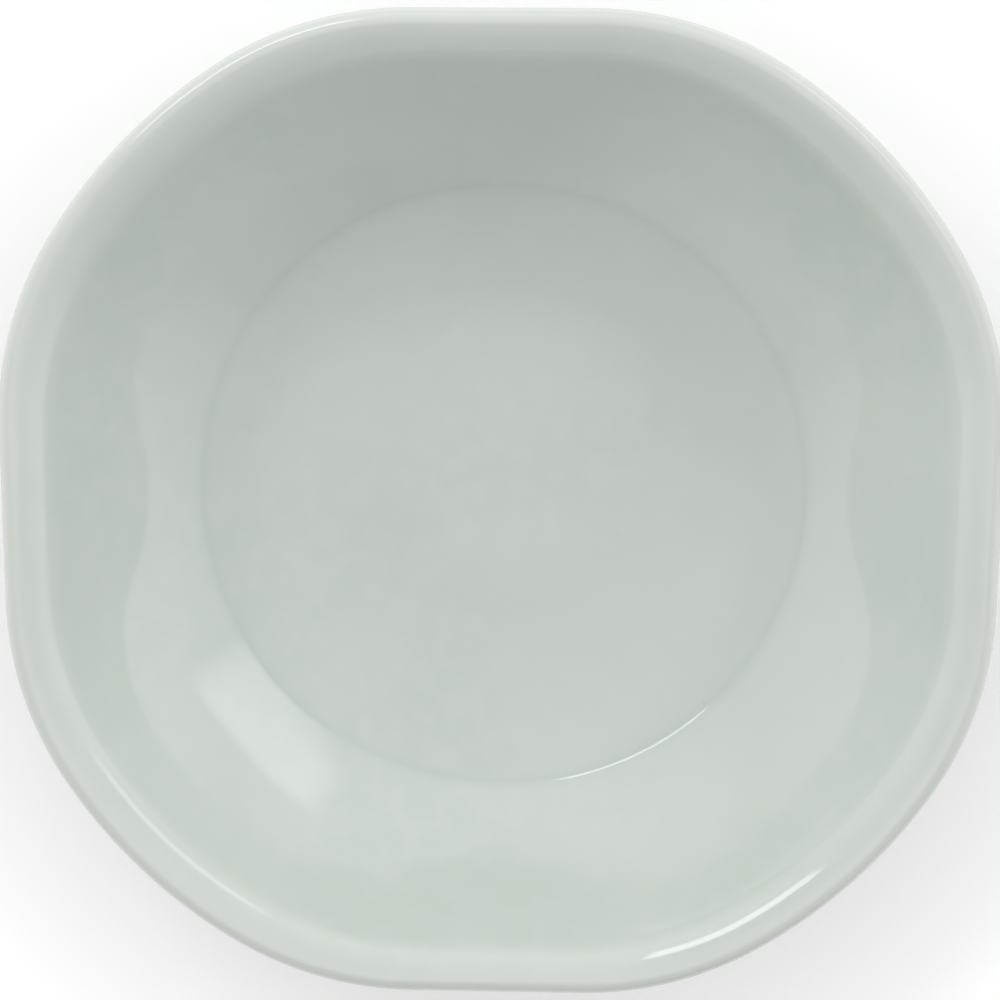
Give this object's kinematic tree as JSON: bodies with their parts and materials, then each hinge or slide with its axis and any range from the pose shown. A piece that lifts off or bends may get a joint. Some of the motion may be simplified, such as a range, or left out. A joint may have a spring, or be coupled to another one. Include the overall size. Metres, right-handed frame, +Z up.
{
  "type": "serving bowl",
  "caption": "Open ceramic serving bowl with a softly squared rounded lip, a flared wall, a round dished well and a foot ring, for holding and serving food.",
  "frame": {"origin": "on the table, under the middle of the bowl", "axes": "+Z up along the bowl's axis; +X and +Y through the middles of two neighbouring flat sides of the rim"},
  "size_m": [0.21, 0.21, 0.054],
  "materials": {
    "glaze": "gloss"
  },
  "bodies": {
    "root": {"bowl": "glaze"}
  },
  "joints": []
}
